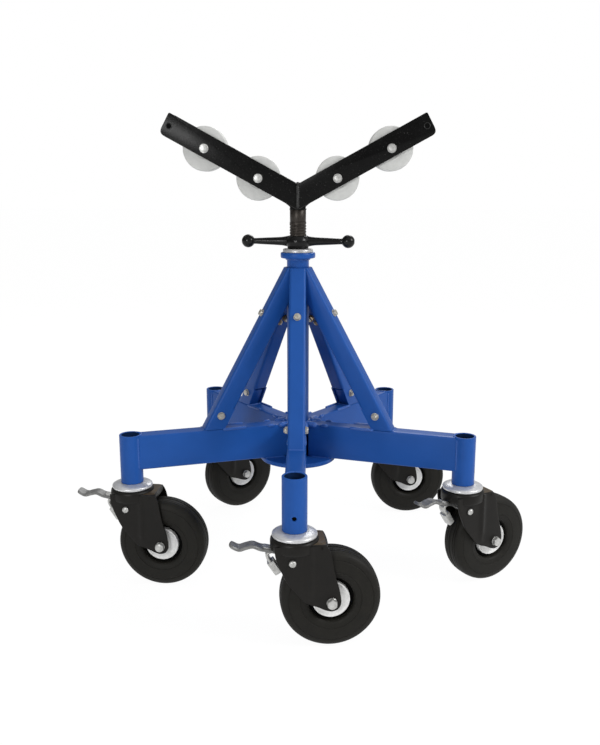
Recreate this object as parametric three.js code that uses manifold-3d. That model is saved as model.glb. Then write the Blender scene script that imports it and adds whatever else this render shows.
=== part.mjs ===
// Mobile pipe roller stand: five tube legs on braked swivel casters, a braced column with
// a screw jack, and a V head with four rollers. Millimetres, +Z up, the floor at Z = 0,
// the column on the Z axis and the front leg along -Y.
import * as THREE from 'three';
import { mergeVertices } from 'three/addons/utils/BufferGeometryUtils.js';
import ManifoldModule from 'manifold-3d';

const kernel = await ManifoldModule();
kernel.setup();

const degrees = THREE.MathUtils.degToRad;

// Clearance between neighbouring pieces, and the overreach of a hole through its piece
const GAP = 0.3;
const THROUGH = 1;

// Sides of the polygons that stand for circles
const ROUND = 20;
const SMALL_ROUND = 10;
const TURNED = 16;
const WHEEL_SIDES = 24;
const HEX_SIDES = 6;

// Wheels
const WHEEL_RADIUS = 101.6;
const TYRE_WIDTH = 60;
const TYRE_SHOULDER = 7;
const TREAD_FLAT = 34;
const SIDEWALL_INNER_SHARE = 0.62;
const SIDEWALL_OUTER_SHARE = 0.82;
const SHOULDER_OUTER_SHARE = 0.94;
const RIM_RADIUS = 42;
const RIM_LIP = 6;
const RIM_INSET = 6;
const RIM_DISH = 2.5;
const BOSS_RADIUS = 15;
const BOSS_CLEARANCE = 1;
const AXLE_RADIUS = 6;
const AXLE_HEX = 19;
const AXLE_HEX_THICKNESS = 10;
const AXLE_END = 2;

// Caster forks; the outline points are (along the trail, up) from the axle
const CASTER_HEADING = [5.8, 28.9, 8.5, 38.5, -5.2].map(degrees);
const TRAIL = 70.7;
const TYRE_CLEARANCE = 5;
const FORK_PLATE = 4;
const FORK_EYE = 19;
const FORK_EYE_ARC = [225, 375].map(degrees);
const FORK_EYE_STEPS = 3;
const FORK_LAP = 14;
const FORK_FRONT_TOP = -107.7;
const FORK_FRONT = [[-105.7, 88.4], [-90.7, 46.4], [-53.7, 2.4], [-31.7, -8.6]];
const FORK_BACK = [[12.3, 38.4], [2.3, 66.4]];
const FORK_BACK_TOP = -8.2;
const CROWN_RADIUS = 49;
const CROWN_ABOVE_TYRE = 6;
const CROWN_THICKNESS = 21.5;
const ROOF_REACH = 13.5;
const ROOF_THICKNESS = 15;
const KINGPIN_RADIUS = 12;
const RACE_INSET = 3.5;
const RACE_HEIGHT = 10.7;
const RACE_RIM = 5;
const RACE_LEDGE = 5;
const STEM_LENGTH = 58;

// Brake levers; the lines run through the middle of the sheet, from the pivot
const PIVOT_RADIUS = 5;
const PIVOT_PROUD = 2.5;
const PIVOT_ANGLE = degrees(132.3);
const PIVOT_CLEARANCE = 5;
const PEDAL_WIDTH = 28;
const PEDAL_SHEET = 5;
const PEDAL_BOSS = 8;
const PEDAL_LINE = [[0, 0], [-24, 11], [-42, 16.5], [-61, 21], [-77, 27], [-98, 21], [-121, 30]];
const RELEASE_WIDTH = 22;
const RELEASE_LINE = [[-43, 16.5], [-48, 6], [-30, -28]];

// Frame
const LEG_NAMES = ['front', 'right', 'rear_right', 'rear_left', 'left'];
const POST_CIRCLE = 397;
const PIPE_OD = 48.3;
const PIPE_WALL = 3.7;
const POST_HEIGHT = 112;
const POST_HOLE = 8;
const POST_HOLE_UP = 32;
const LEG_WIDTH = 40;
const LEG_HEIGHT = 75;
const LEG_WALL = 4;
const LEG_DROP = 1;
const LEG_SCALLOP_STEPS = 4;
const LEG_MITRE_GAP = 1.5;
const HUB_RADIUS = 90;
const HUB_THICKNESS = 10;
const COLUMN_RISE = 401.5;
const FLANGE_RADIUS = 40;
const FLANGE_THICKNESS = 13;
const BRACE_FOOT = 231;
const BRACE_BELOW_FLANGE = 21.5;
const BRACE_STANDOFF = 5.5;
const BRACE_WIDTH = 38;
const BRACE_DEPTH = 38;
const BRACE_WALL = 4;
const TONGUE_SHEET = 8;
const TONGUE_LENGTH = 125;
const TONGUE_CLEARANCE = 1;
const LUG_HEIGHT = 43;
const LUG_HEADROOM = 4;
const LUG_INSET = 1;

// Screw jack
const WASHER_RADIUS = 34.5;
const WASHER_THICKNESS = 7.7;
const WASHER_EDGE = 2.5;
const WASHER_CLEARANCE = 1;
const SCREW_CLEARANCE = 1.4;
const SCREW_LENGTH = 473;
const SCREW_SHOWN = 31.2;
const SCREW_POINT = 3;
const NECK_STEP = 1.5;
const NECK_LENGTH = 29.1;
const NUT_WALL = 9;
const NUT_HEIGHT = 29;
const NUT_EDGE = 5;
const HANDLE_SPAN = 230;
const HANDLE_BALL = 15;
const HANDLE_BALL_STEPS = 5;
const HANDLE_ROOT = 11;
const HANDLE_SHOULDER = 9;
const HANDLE_ROOT_LENGTH = 6;
const HANDLE_TIP = 6.5;
const HANDLE_UP = 16.5;
const HANDLE_YAW = degrees(-5);

// V head; places along an arm are shares of its length from the notch, places down it of its width
const ARM_SLOPE = degrees(28.5);
const ARM_LENGTH = 320;
const ARM_WIDTH = 50;
const ARM_THICKNESS = 8;
const ARM_INSIDE = 60;
const ARM_CORNER = 12;
const ARM_CORNER_STEPS = 5;
const ARM_TRUNCATION = 1.5;
const ROLLER_NAMES = ['inner', 'outer'];
const ROLLER_ALONG = [0.26, 0.68];
const ROLLER_DOWN = 0.632;
const ROLLER_RADIUS = 49;
const ROLLER_CLEARANCE = 4;
const ROLLER_EDGE = 4;
const BOLT_RADIUS = 6;
const BOLT_HEX = 19;
const BOLT_HEAD = 8;
const BOLT_END = 3;
const SPACER_INSET = 13;
const SPACER_DOWN = 0.52;
const SPACER_RADIUS = 8;
const BLOCK_CLEARANCE = 3;
const BLOCK_SUNK = 4;
const BLOCK_FOOT = 6;

// Heights and radii that follow from the sizes above
const FACET = Math.cos(Math.PI / WHEEL_SIDES);
const FORK_INSIDE = TYRE_WIDTH + 2 * TYRE_CLEARANCE;
const FORK_OUTSIDE = FORK_INSIDE + 2 * FORK_PLATE;
const CROWN_BOTTOM = 2 * WHEEL_RADIUS + CROWN_ABOVE_TYRE;
const CROWN_TOP = CROWN_BOTTOM + CROWN_THICKNESS;
const RACE_TOP = CROWN_TOP + GAP + RACE_HEIGHT;
const PIVOT_REACH = WHEEL_RADIUS / FACET + PIVOT_CLEARANCE + PEDAL_BOSS;
const PIVOT_ALONG = TRAIL + PIVOT_REACH * Math.cos(PIVOT_ANGLE);
const PIVOT_UP = WHEEL_RADIUS + PIVOT_REACH * Math.sin(PIVOT_ANGLE);
const LEG_STEP = (2 * Math.PI) / LEG_NAMES.length;
const PIPE_RADIUS = PIPE_OD / 2;
const BORE_RADIUS = PIPE_RADIUS - PIPE_WALL;
const POST_BOTTOM = RACE_TOP + GAP;
const POST_TOP = POST_BOTTOM + POST_HEIGHT;
const LEG_TOP = POST_TOP - LEG_DROP;
const LEG_BOTTOM = LEG_TOP - LEG_HEIGHT;
const HUB_TOP = LEG_BOTTOM - GAP;
const COLUMN_TOP = LEG_TOP + COLUMN_RISE;
const BRACE_TOP = COLUMN_TOP - FLANGE_THICKNESS - BRACE_BELOW_FLANGE;
const BRACE_HEAD = PIPE_RADIUS + BRACE_STANDOFF;
const SCREW_RADIUS = BORE_RADIUS - SCREW_CLEARANCE;
const NECK_RADIUS = SCREW_RADIUS - NECK_STEP;
const WASHER_BOTTOM = COLUMN_TOP + GAP;
const NUT_BOTTOM = WASHER_BOTTOM + WASHER_THICKNESS + GAP;
const NUT_RADIUS = SCREW_RADIUS + NUT_WALL;
const SCREW_TOP = NUT_BOTTOM + NUT_HEIGHT + SCREW_SHOWN;
const NECK_TOP = SCREW_TOP + NECK_LENGTH;
const ARM_RISE = Math.tan(ARM_SLOPE);
const ARM_FOOT = ARM_TRUNCATION - ARM_WIDTH / Math.cos(ARM_SLOPE);
const NOTCH_HEIGHT = NECK_TOP - ARM_FOOT;
const HEAD_OUTSIDE = ARM_INSIDE + 2 * ARM_THICKNESS;
const BLOCK_HALF = armPoint(...rollerPlace(0))[0] - ROLLER_RADIUS - BLOCK_CLEARANCE;

const paint = (name, color, roughness, metalness) =>
  new THREE.MeshStandardMaterial({ name, color, roughness, metalness });
const bluePaint = () => paint('blue paint', 0x2c55a4, 0.45, 0.1);
const blackPaint = () => paint('black paint', 0x191918, 0.5, 0.2);
const forkBlack = () => paint('black fork coating', 0x262624, 0.5, 0.2);
const zinc = () => paint('zinc plate', 0xc9ccd0, 0.35, 0.8);
const rubber = () => paint('tyre rubber', 0x2a2a26, 0.85, 0);
const rimSilver = () => paint('rim silver', 0xc8c8c4, 0.5, 0.4);
const screwSteel = () => paint('oiled steel', 0x47413b, 0.45, 0.7);
const nylon = () => paint('natural nylon', 0xd0d0cc, 0.55, 0);

// Closed triangle mesh to solid, turned the right way out
function solid(geometry) {
  const bare = new THREE.BufferGeometry();
  bare.setAttribute('position', geometry.getAttribute('position'));
  if (geometry.index) bare.setIndex(geometry.index);
  const merged = mergeVertices(bare, 1e-4);
  const triVerts = Uint32Array.from(merged.index.array);
  const vertProperties = Float32Array.from(merged.getAttribute('position').array);
  if (signedVolume(vertProperties, triVerts) < 0) turnRound(triVerts);
  const mesh = new kernel.Mesh({ numProp: 3, vertProperties, triVerts });
  mesh.merge();
  return new kernel.Manifold(mesh);
}

function signedVolume(at, tri) {
  const p = (i) => new THREE.Vector3().fromArray(at, 3 * i);
  let sum = 0;
  for (let i = 0; i < tri.length; i += 3) {
    sum += p(tri[i]).dot(p(tri[i + 1]).cross(p(tri[i + 2])));
  }
  return sum / 6;
}

function turnRound(tri) {
  for (let i = 0; i < tri.length; i += 3) {
    const second = tri[i + 1];
    tri[i + 1] = tri[i + 2];
    tri[i + 2] = second;
  }
}

function toGeometry(body) {
  const mesh = body.getMesh();
  const geometry = new THREE.BufferGeometry();
  geometry.setAttribute('position', new THREE.BufferAttribute(mesh.vertProperties, 3));
  geometry.setIndex(new THREE.BufferAttribute(mesh.triVerts, 1));
  const faceted = geometry.toNonIndexed();
  faceted.computeVertexNormals();
  return faceted;
}

function joined(...bodies) {
  return bodies.reduce((sum, body) => sum.add(body));
}

function cut(body, ...tools) {
  return tools.reduce((rest, tool) => rest.subtract(tool), body);
}

// Upright prism on a plan outline
function upright(points, z0, z1) {
  const shape = new THREE.Shape(points.map(([x, y]) => new THREE.Vector2(x, y)));
  const geometry = new THREE.ExtrudeGeometry(shape, { depth: z1 - z0, bevelEnabled: false });
  return geometry.translate(0, 0, z0);
}

// Plate on a side outline of (x, z) points, of a width centred on the outline's plane
function sidePlate(points, width) {
  const geometry = upright(points.map(([x, z]) => [x, -z]), -width / 2, width / 2);
  return geometry.rotateX(-Math.PI / 2);
}

function box(x0, x1, width, z0, z1) {
  const geometry = new THREE.BoxGeometry(x1 - x0, width, z1 - z0);
  return geometry.translate((x0 + x1) / 2, 0, (z0 + z1) / 2);
}

function rod(radius, z0, z1, sides = ROUND) {
  const geometry = new THREE.CylinderGeometry(radius, radius, z1 - z0, sides);
  return geometry.rotateX(Math.PI / 2).translate(0, 0, (z0 + z1) / 2);
}

// Rod along Y
function crossRod(radius, y0, y1, sides = SMALL_ROUND) {
  return rod(radius, y0, y1, sides).rotateX(-Math.PI / 2);
}

// Hexagon along Y, stated by its flats
function crossHex(flats, y0, y1) {
  return crossRod(flats / 2 / Math.cos(Math.PI / HEX_SIDES), y0, y1, HEX_SIDES);
}

// Turned piece on the Z axis from (radius, z) points
function turned(points, sides = ROUND) {
  const profile = points.map(([r, z]) => new THREE.Vector2(r, z));
  return new THREE.LatheGeometry(profile, sides).rotateX(Math.PI / 2);
}

// Turned ring on the Y axis, the same on both sides, with a flat facet underneath
function wheelTurned(half, sides) {
  const back = half.map(([r, y]) => [r, -y]).reverse();
  const ring = turned([...half, ...back, half[0]], sides);
  return solid(ring.rotateZ(Math.PI / sides).rotateX(-Math.PI / 2));
}

// Band of even thickness along a path of (x, z) points
function band(path, thickness) {
  const left = [];
  const right = [];
  path.forEach((point, i) => {
    const before = path[Math.max(i - 1, 0)];
    const after = path[Math.min(i + 1, path.length - 1)];
    const along = new THREE.Vector2(after[0] - before[0], after[1] - before[1]).setLength(thickness / 2);
    left.push([point[0] - along.y, point[1] + along.x]);
    right.unshift([point[0] + along.y, point[1] - along.x]);
  });
  return [...left, ...right];
}

function arc(x, z, radius, from, to, steps) {
  const points = [];
  for (let i = 0; i <= steps; i += 1) {
    const angle = from + ((to - from) * i) / steps;
    points.push([x + radius * Math.cos(angle), z + radius * Math.sin(angle)]);
  }
  return points;
}

function legAngle(i) {
  return i * LEG_STEP - Math.PI / 2;
}

// Radius of a brace's outer face at height z, less a depth square to that face
function braceRadius(z, depth) {
  const lean = Math.atan2(BRACE_FOOT - BRACE_HEAD, BRACE_TOP - LEG_TOP);
  return BRACE_FOOT - (z - LEG_TOP) * Math.tan(lean) - depth / Math.cos(lean);
}

// Slanted plate between two depths below the outer face of a brace
function braceSlab([z0, z1], [shallow, deep], width) {
  const outline = [
    [braceRadius(z0, shallow), z0],
    [braceRadius(z1, shallow), z1],
    [braceRadius(z1, deep), z1],
    [braceRadius(z0, deep), z0],
  ];
  return sidePlate(outline, width);
}

// Plan of a leg tube, mitred to its neighbours and hollowed to the column
function legPlan() {
  const half = LEG_STEP / 2;
  const inner = PIPE_RADIUS + GAP;
  const turn = half - LEG_MITRE_GAP / inner;
  const side = LEG_WIDTH / 2;
  const shoulder = (LEG_MITRE_GAP + side * Math.cos(half)) / Math.sin(half);
  return [
    ...arc(0, 0, inner, -turn, turn, LEG_SCALLOP_STEPS),
    [shoulder, side],
    [POST_CIRCLE, side],
    [POST_CIRCLE, -side],
    [shoulder, -side],
  ];
}

// Width of the tongue and the lug that fit into the brace
function braceFiller() {
  return BRACE_WIDTH - 2 * (BRACE_WALL + TONGUE_CLEARANCE);
}

// Lug welded on the leg, inside the foot of the brace
function legLug() {
  const heights = [LEG_TOP - GAP, LEG_TOP + LUG_HEIGHT];
  const depths = [BRACE_WALL + GAP, BRACE_DEPTH - LUG_INSET];
  return solid(braceSlab(heights, depths, braceFiller()));
}

// Leg tube welded to its caster post, with the lug that carries the brace
function leg() {
  const beam = solid(upright(legPlan(), LEG_BOTTOM, LEG_TOP));
  const end = POST_CIRCLE - PIPE_RADIUS - LEG_WALL;
  const hollow = box(0, end, LEG_WIDTH - 2 * LEG_WALL, LEG_BOTTOM + LEG_WALL, LEG_TOP - LEG_WALL);
  const post = rod(PIPE_RADIUS, POST_BOTTOM, POST_TOP).translate(POST_CIRCLE, 0, 0);
  const bore = rod(BORE_RADIUS, POST_BOTTOM - THROUGH, POST_TOP + THROUGH).translate(POST_CIRCLE, 0, 0);
  const pinHole = rod(POST_HOLE / 2, 0, PIPE_RADIUS + THROUGH, SMALL_ROUND)
    .rotateY(Math.PI / 2)
    .translate(POST_CIRCLE, 0, POST_BOTTOM + POST_HOLE_UP);
  return cut(joined(beam, solid(post), legLug()), solid(hollow), solid(bore), solid(pinHole));
}

function hubPlate() {
  return solid(rod(HUB_RADIUS, HUB_TOP - HUB_THICKNESS, HUB_TOP));
}

// Column tube with its top flange and a slanted tongue inside each brace
function column() {
  const tube = solid(rod(PIPE_RADIUS, LEG_BOTTOM, COLUMN_TOP));
  const flange = solid(rod(FLANGE_RADIUS, COLUMN_TOP - FLANGE_THICKNESS, COLUMN_TOP));
  const top = BRACE_TOP - BRACE_WALL;
  const face = BRACE_WALL + GAP;
  const tongues = LEG_NAMES.map((name, i) => {
    const tongue = braceSlab([top - TONGUE_LENGTH, top], [face, face + TONGUE_SHEET], braceFiller());
    return solid(tongue.rotateZ(legAngle(i)));
  });
  const bore = solid(rod(BORE_RADIUS, LEG_BOTTOM - THROUGH, COLUMN_TOP + THROUGH));
  return cut(joined(tube, flange, ...tongues), bore);
}

// Sector that keeps a brace clear of its neighbours
function braceSector(reach) {
  const half = LEG_STEP / 2;
  const apex = GAP / Math.sin(half);
  const spread = (reach - apex) * Math.tan(half);
  return solid(upright([[apex, 0], [reach, -spread], [reach, spread]], 0, COLUMN_TOP));
}

// Tube brace over the lug and the tongue, its inner wall cut away above the leg
function brace() {
  const low = LEG_TOP + GAP;
  const inside = BRACE_WIDTH - 2 * BRACE_WALL;
  const mouth = LEG_TOP + LUG_HEIGHT + LUG_HEADROOM;
  const bore = [BRACE_WALL, BRACE_DEPTH - BRACE_WALL];
  const open = [BRACE_WALL, BRACE_DEPTH + THROUGH];
  const tube = solid(braceSlab([low, BRACE_TOP], [0, BRACE_DEPTH], BRACE_WIDTH));
  const hollow = solid(braceSlab([low - THROUGH, BRACE_TOP + THROUGH], bore, inside));
  const opening = solid(braceSlab([low - THROUGH, mouth], open, inside));
  const clearance = solid(rod(PIPE_RADIUS + GAP, 0, COLUMN_TOP));
  return cut(tube.intersect(braceSector(BRACE_FOOT + BRACE_WIDTH)), hollow, opening, clearance);
}

// Caster stem with its race ring: fixed in the post, the kingpin through the fork's crown
function casterStem() {
  const race = CROWN_RADIUS - RACE_INSET;
  const stem = BORE_RADIUS - GAP;
  return solid(turned([
    [0, CROWN_BOTTOM],
    [KINGPIN_RADIUS, CROWN_BOTTOM],
    [KINGPIN_RADIUS, CROWN_TOP + GAP],
    [race, CROWN_TOP + GAP],
    [race, RACE_TOP - RACE_RIM],
    [PIPE_RADIUS + RACE_LEDGE, RACE_TOP],
    [stem, RACE_TOP],
    [stem, RACE_TOP + STEM_LENGTH],
    [0, RACE_TOP + STEM_LENGTH],
  ], TURNED));
}

// Side outline of a fork: shield-shaped, narrowing to a round eye at the axle
function forkOutline() {
  const fromAxle = ([along, up]) => [TRAIL + along, WHEEL_RADIUS + up];
  return [
    [TRAIL + FORK_FRONT_TOP, CROWN_BOTTOM + FORK_LAP],
    ...FORK_FRONT.map(fromAxle),
    ...arc(TRAIL, WHEEL_RADIUS, FORK_EYE, ...FORK_EYE_ARC, FORK_EYE_STEPS),
    ...FORK_BACK.map(fromAxle),
    [TRAIL + FORK_BACK_TOP, CROWN_BOTTOM + FORK_LAP],
  ];
}

// Stamped fork: two plates under a round crown, a roof to the rear and the brake's pivot pin
function casterFork() {
  const out = FORK_OUTSIDE / 2;
  const plates = solid(sidePlate(forkOutline(), FORK_OUTSIDE));
  const slot = solid(box(-TRAIL, 2 * TRAIL, FORK_INSIDE, 0, CROWN_BOTTOM));
  const crown = solid(rod(CROWN_RADIUS, CROWN_BOTTOM, CROWN_TOP));
  const roof = solid(box(0, CROWN_RADIUS + ROOF_REACH, FORK_OUTSIDE,
    CROWN_BOTTOM, CROWN_BOTTOM + ROOF_THICKNESS));
  const kingpin = solid(rod(KINGPIN_RADIUS + GAP, 0, POST_TOP, TURNED));
  const axle = solid(crossRod(AXLE_RADIUS + GAP, -out - THROUGH, out + THROUGH)
    .translate(TRAIL, 0, WHEEL_RADIUS));
  const pin = solid(crossRod(PIVOT_RADIUS, -out - PIVOT_PROUD, out + PIVOT_PROUD)
    .translate(PIVOT_ALONG, 0, PIVOT_UP));
  return joined(cut(joined(cut(plates, slot), crown, roof), kingpin, axle), pin);
}

// Wheel bolt with its head and its nut outside the fork plates
function casterAxle() {
  const face = FORK_OUTSIDE / 2 + GAP;
  const end = face + AXLE_HEX_THICKNESS;
  const head = solid(crossHex(AXLE_HEX, face, end));
  const nut = solid(crossHex(AXLE_HEX, -end, -face));
  const shaft = solid(crossRod(AXLE_RADIUS, -end - AXLE_END, face + THROUGH));
  return joined(shaft, head, nut);
}

function tyre() {
  const side = TYRE_WIDTH / 2;
  return wheelTurned([
    [RIM_RADIUS + 2 * GAP, side - RIM_INSET],
    [WHEEL_RADIUS * SIDEWALL_INNER_SHARE, side],
    [WHEEL_RADIUS * SIDEWALL_OUTER_SHARE, side],
    [WHEEL_RADIUS * SHOULDER_OUTER_SHARE, side - TYRE_SHOULDER],
    [WHEEL_RADIUS / FACET, TREAD_FLAT / 2],
  ], WHEEL_SIDES);
}

function rim() {
  const edge = TYRE_WIDTH / 2 - RIM_INSET;
  const boss = FORK_INSIDE / 2 - BOSS_CLEARANCE;
  return wheelTurned([
    [AXLE_RADIUS + GAP, boss],
    [BOSS_RADIUS, boss],
    [BOSS_RADIUS, edge - RIM_DISH],
    [RIM_RADIUS - RIM_LIP, edge - RIM_DISH],
    [RIM_RADIUS, edge],
  ], TURNED);
}

// Two-way brake lever: a waved pedal in front of the fork and a release tab below it
function brakePedal() {
  const side = PEDAL_WIDTH / 2;
  const body = joined(
    solid(sidePlate(band(PEDAL_LINE, PEDAL_SHEET), PEDAL_WIDTH)),
    solid(sidePlate(band(RELEASE_LINE, PEDAL_SHEET), RELEASE_WIDTH)),
    solid(crossRod(PEDAL_BOSS, -side, side)),
  );
  return cut(body, solid(crossRod(PIVOT_RADIUS + GAP, -side - THROUGH, side + THROUGH)));
}

function thrustWasher() {
  const bore = SCREW_RADIUS + WASHER_CLEARANCE;
  return solid(turned([
    [bore, 0],
    [WASHER_RADIUS, 0],
    [WASHER_RADIUS, WASHER_THICKNESS - WASHER_EDGE],
    [WASHER_RADIUS - WASHER_EDGE, WASHER_THICKNESS],
    [bore, WASHER_THICKNESS],
    [bore, 0],
  ]));
}

// Tapered handle with a ball end, along X from the screw's axis
function nutHandle() {
  const half = HANDLE_SPAN / 2;
  const neck = half - Math.sqrt(HANDLE_BALL ** 2 - HANDLE_TIP ** 2);
  const open = Math.PI - Math.asin(HANDLE_TIP / HANDLE_BALL);
  const ball = arc(half, 0, HANDLE_BALL, open, 0, HANDLE_BALL_STEPS).map(([x, z]) => [z, x]);
  return turned([
    [0, 0],
    [HANDLE_ROOT, 0],
    [HANDLE_ROOT, NUT_RADIUS - HANDLE_ROOT_LENGTH],
    [HANDLE_SHOULDER, NUT_RADIUS + HANDLE_ROOT_LENGTH],
    [HANDLE_TIP, neck],
    ...ball.slice(1, -1),
    [0, half + HANDLE_BALL],
  ], SMALL_ROUND).rotateY(Math.PI / 2);
}

// Cast jack nut with two handles
function jackNut() {
  const barrel = solid(turned([
    [0, 0],
    [NUT_RADIUS - NUT_EDGE, 0],
    [NUT_RADIUS, NUT_EDGE],
    [NUT_RADIUS, NUT_HEIGHT - NUT_EDGE],
    [NUT_RADIUS - NUT_EDGE, NUT_HEIGHT],
    [0, NUT_HEIGHT],
  ]));
  const handles = [0, Math.PI].map((angle) =>
    solid(nutHandle().rotateZ(angle).translate(0, 0, HANDLE_UP)));
  const bore = solid(rod(SCREW_RADIUS + GAP, -THROUGH, NUT_HEIGHT + THROUGH));
  return cut(joined(barrel, ...handles), bore);
}

// Jack screw with the plain neck under the head
function jackScrew() {
  const bottom = SCREW_TOP - SCREW_LENGTH;
  return solid(turned([
    [0, bottom],
    [SCREW_RADIUS - SCREW_POINT, bottom],
    [SCREW_RADIUS, bottom + SCREW_POINT],
    [SCREW_RADIUS, SCREW_TOP],
    [NECK_RADIUS, SCREW_TOP + NECK_STEP],
    [NECK_RADIUS, NECK_TOP],
    [0, NECK_TOP],
  ]));
}

// Point on the right arm of the V from the notch: along the arm, and down across its face
function armPoint(along, down) {
  const x = along * Math.cos(ARM_SLOPE) + down * Math.sin(ARM_SLOPE);
  const z = along * Math.sin(ARM_SLOPE) - down * Math.cos(ARM_SLOPE);
  return [x, z];
}

function rollerPlace(k) {
  return [ROLLER_ALONG[k] * ARM_LENGTH, ROLLER_DOWN * ARM_WIDTH];
}

// Block between the four arm bars, on top of the screw's neck
function headBlock() {
  const base = ARM_FOOT + GAP;
  const low = base + BLOCK_HALF * ARM_RISE;
  const high = BLOCK_HALF * ARM_RISE - BLOCK_SUNK;
  const outline = [
    [-NECK_RADIUS, base + BLOCK_FOOT],
    [-NECK_RADIUS, base],
    [NECK_RADIUS, base],
    [NECK_RADIUS, base + BLOCK_FOOT],
    [BLOCK_HALF, low],
    [BLOCK_HALF, high],
    [0, -BLOCK_SUNK],
    [-BLOCK_HALF, high],
    [-BLOCK_HALF, low],
  ];
  return solid(sidePlate(outline, ARM_INSIDE - 2 * GAP));
}

// Flat bar of the V, upright at the seam and with its low outer corner rounded
function armBar() {
  const corner = armPoint(ARM_LENGTH - ARM_CORNER, ARM_WIDTH - ARM_CORNER);
  const seam = GAP / 2;
  const outline = [
    [seam, ARM_FOOT],
    [ARM_TRUNCATION / ARM_RISE, ARM_FOOT],
    ...arc(...corner, ARM_CORNER, ARM_SLOPE - Math.PI / 2, ARM_SLOPE, ARM_CORNER_STEPS),
    armPoint(ARM_LENGTH, 0),
    [seam, seam * ARM_RISE],
  ];
  const bar = solid(sidePlate(outline, ARM_THICKNESS));
  const holes = ROLLER_NAMES.map((_, k) => {
    const [x, z] = armPoint(...rollerPlace(k));
    return solid(crossRod(BOLT_RADIUS + GAP, -ARM_THICKNESS, ARM_THICKNESS).translate(x, 0, z));
  });
  return cut(bar, ...holes);
}

function roller() {
  const side = ARM_INSIDE / 2 - ROLLER_CLEARANCE;
  return wheelTurned([
    [BOLT_RADIUS + GAP, side],
    [ROLLER_RADIUS - ROLLER_EDGE, side],
    [ROLLER_RADIUS, side - ROLLER_EDGE],
  ], WHEEL_SIDES);
}

function rollerBolt() {
  const face = HEAD_OUTSIDE / 2 + GAP;
  const end = face + BOLT_HEAD;
  const head = solid(crossHex(BOLT_HEX, -end, -face));
  const nut = solid(crossHex(BOLT_HEX, face, end));
  const shaft = solid(crossRod(BOLT_RADIUS, -face - THROUGH, end + BOLT_END));
  return joined(shaft, head, nut);
}

function armSpacer() {
  const side = ARM_INSIDE / 2 - GAP;
  return solid(crossRod(SPACER_RADIUS, -side, side));
}

function piece(name, geometry, material) {
  const mesh = new THREE.Mesh(geometry, material);
  mesh.name = name;
  return mesh;
}

function frame() {
  const group = new THREE.Group();
  group.add(piece('column', toGeometry(column()), bluePaint()));
  group.add(piece('hub_plate', toGeometry(hubPlate()), bluePaint()));
  const legShape = toGeometry(leg());
  const braceShape = toGeometry(brace());
  LEG_NAMES.forEach((name, i) => {
    const side = new THREE.Group();
    side.rotation.z = legAngle(i);
    side.add(piece(`leg_${name}`, legShape, bluePaint()));
    side.add(piece(`brace_${name}`, braceShape, bluePaint()));
    group.add(side);
  });
  return group;
}

function casterShapes() {
  return {
    stem: toGeometry(casterStem()),
    fork: toGeometry(casterFork()),
    axle: toGeometry(casterAxle()),
    tyre: toGeometry(tyre()),
    rim: toGeometry(rim()),
    pedal: toGeometry(brakePedal()),
  };
}

function caster(name, shapes) {
  const wheel = new THREE.Group();
  wheel.position.set(TRAIL, 0, WHEEL_RADIUS);
  wheel.add(piece(`caster_axle_${name}`, shapes.axle, zinc()));
  wheel.add(piece(`tyre_${name}`, shapes.tyre, rubber()));
  wheel.add(piece(`rim_${name}`, shapes.rim, rimSilver()));
  const pedal = piece(`brake_pedal_${name}`, shapes.pedal, zinc());
  pedal.position.set(PIVOT_ALONG, 0, PIVOT_UP);
  const group = new THREE.Group();
  group.add(piece(`caster_stem_${name}`, shapes.stem, zinc()));
  group.add(piece(`caster_fork_${name}`, shapes.fork, forkBlack()));
  group.add(wheel, pedal);
  return group;
}

function casters() {
  const shapes = casterShapes();
  return LEG_NAMES.map((name, i) => {
    const group = caster(name, shapes);
    const angle = legAngle(i);
    group.position.set(POST_CIRCLE * Math.cos(angle), POST_CIRCLE * Math.sin(angle), 0);
    group.rotation.z = CASTER_HEADING[i];
    return group;
  });
}

function jack() {
  const washer = piece('thrust_washer', toGeometry(thrustWasher()), zinc());
  washer.position.z = WASHER_BOTTOM;
  const nut = piece('jack_nut', toGeometry(jackNut()), blackPaint());
  nut.position.z = NUT_BOTTOM;
  nut.rotation.z = HANDLE_YAW;
  const group = new THREE.Group();
  group.add(washer, nut, piece('jack_screw', toGeometry(jackScrew()), screwSteel()));
  return group;
}

function arms(side, turn) {
  const shape = toGeometry(armBar());
  const offset = (ARM_INSIDE + ARM_THICKNESS) / 2;
  const front = piece(`arm_front_${side}`, shape, blackPaint());
  front.position.y = -offset;
  front.rotation.z = turn;
  const back = piece(`arm_back_${side}`, shape, blackPaint());
  back.position.y = offset;
  back.rotation.z = turn;
  return [front, back];
}

// Rollers, their bolts and the end spacer of one side; toward is +1 right, -1 left
function sideFittings(side, toward) {
  const group = new THREE.Group();
  ROLLER_NAMES.forEach((place, k) => {
    const [x, z] = armPoint(...rollerPlace(k));
    const station = new THREE.Group();
    station.position.set(toward * x, 0, z);
    station.add(piece(`roller_${place}_${side}`, toGeometry(roller()), nylon()));
    station.add(piece(`roller_bolt_${place}_${side}`, toGeometry(rollerBolt()), zinc()));
    group.add(station);
  });
  const [x, z] = armPoint(ARM_LENGTH - SPACER_INSET, SPACER_DOWN * ARM_WIDTH);
  const spacer = piece(`arm_spacer_${side}`, toGeometry(armSpacer()), blackPaint());
  spacer.position.set(toward * x, 0, z);
  group.add(spacer);
  return group;
}

function head() {
  const group = new THREE.Group();
  group.position.z = NOTCH_HEIGHT;
  group.add(piece('head_block', toGeometry(headBlock()), blackPaint()));
  group.add(...arms('right', 0), ...arms('left', Math.PI));
  group.add(sideFittings('right', 1), sideFittings('left', -1));
  return group;
}

const stand = new THREE.Group();
stand.name = 'pipe_roller_stand';
stand.add(frame(), ...casters(), jack(), head());

export default stand;
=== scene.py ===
import math
import bmesh
import bpy
from mathutils import Matrix, Vector


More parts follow.
